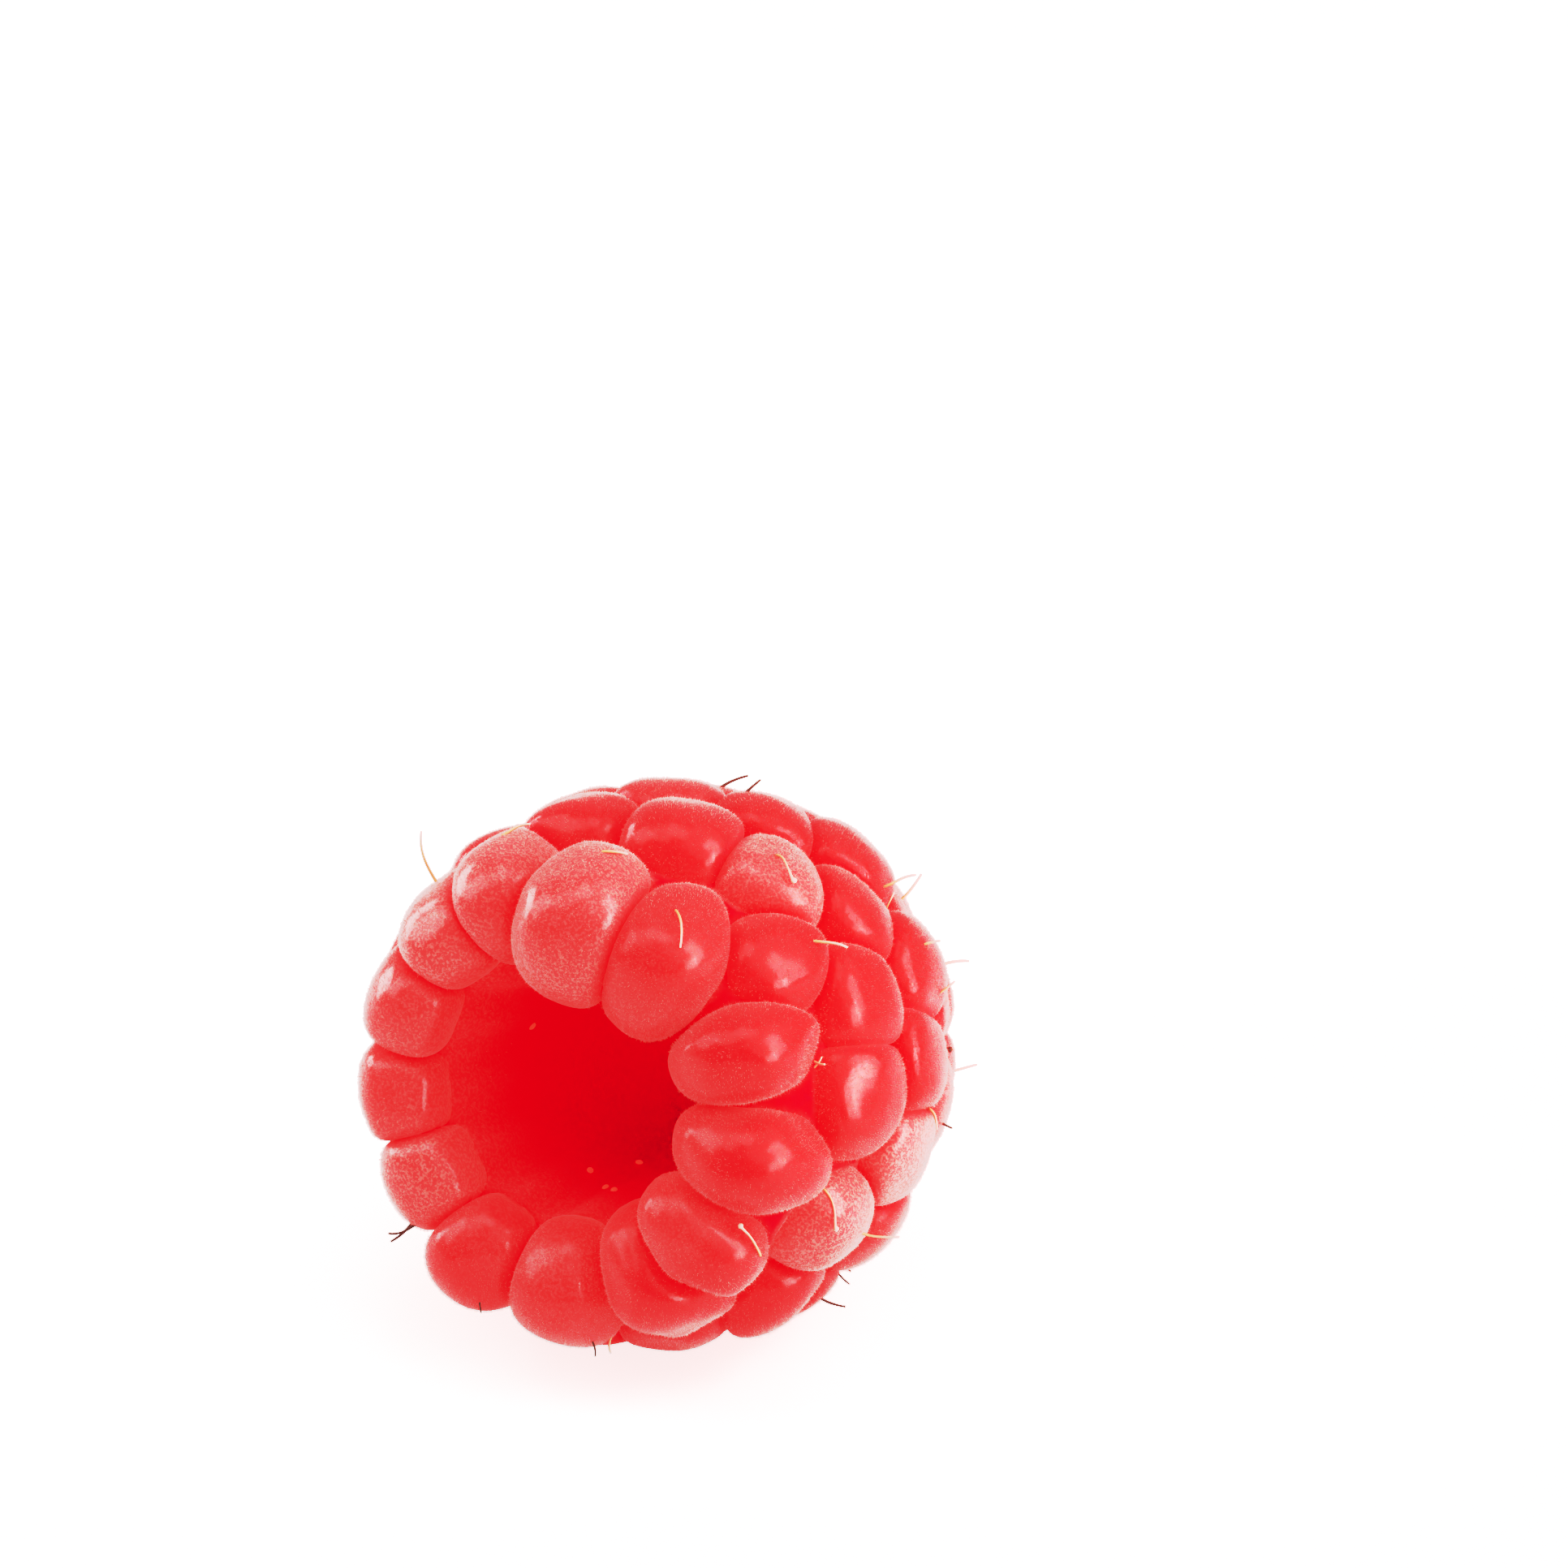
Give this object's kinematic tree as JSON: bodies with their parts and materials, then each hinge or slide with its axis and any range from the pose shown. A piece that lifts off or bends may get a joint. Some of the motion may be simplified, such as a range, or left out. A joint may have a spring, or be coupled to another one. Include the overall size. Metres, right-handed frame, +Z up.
{
  "type": "raspberry",
  "caption": "Picked red raspberry lying on its side: plump fused drupelets round an open hollow, with dried styles and fine down.",
  "frame": {"origin": "middle of the box round the fruit, on the surface that it lies on", "axes": "+Z up; the open mouth of the hollow looks towards -Y and the tip points towards +Y and a little down"},
  "size_m": [0.0206, 0.0244, 0.0208],
  "materials": {
    "flesh": "velvety satin, translucent red",
    "styles": "dry, cream to brown",
    "down": "fine pale hair"
  },
  "bodies": {
    "root": {"raspberry": "flesh"}
  },
  "joints": []
}
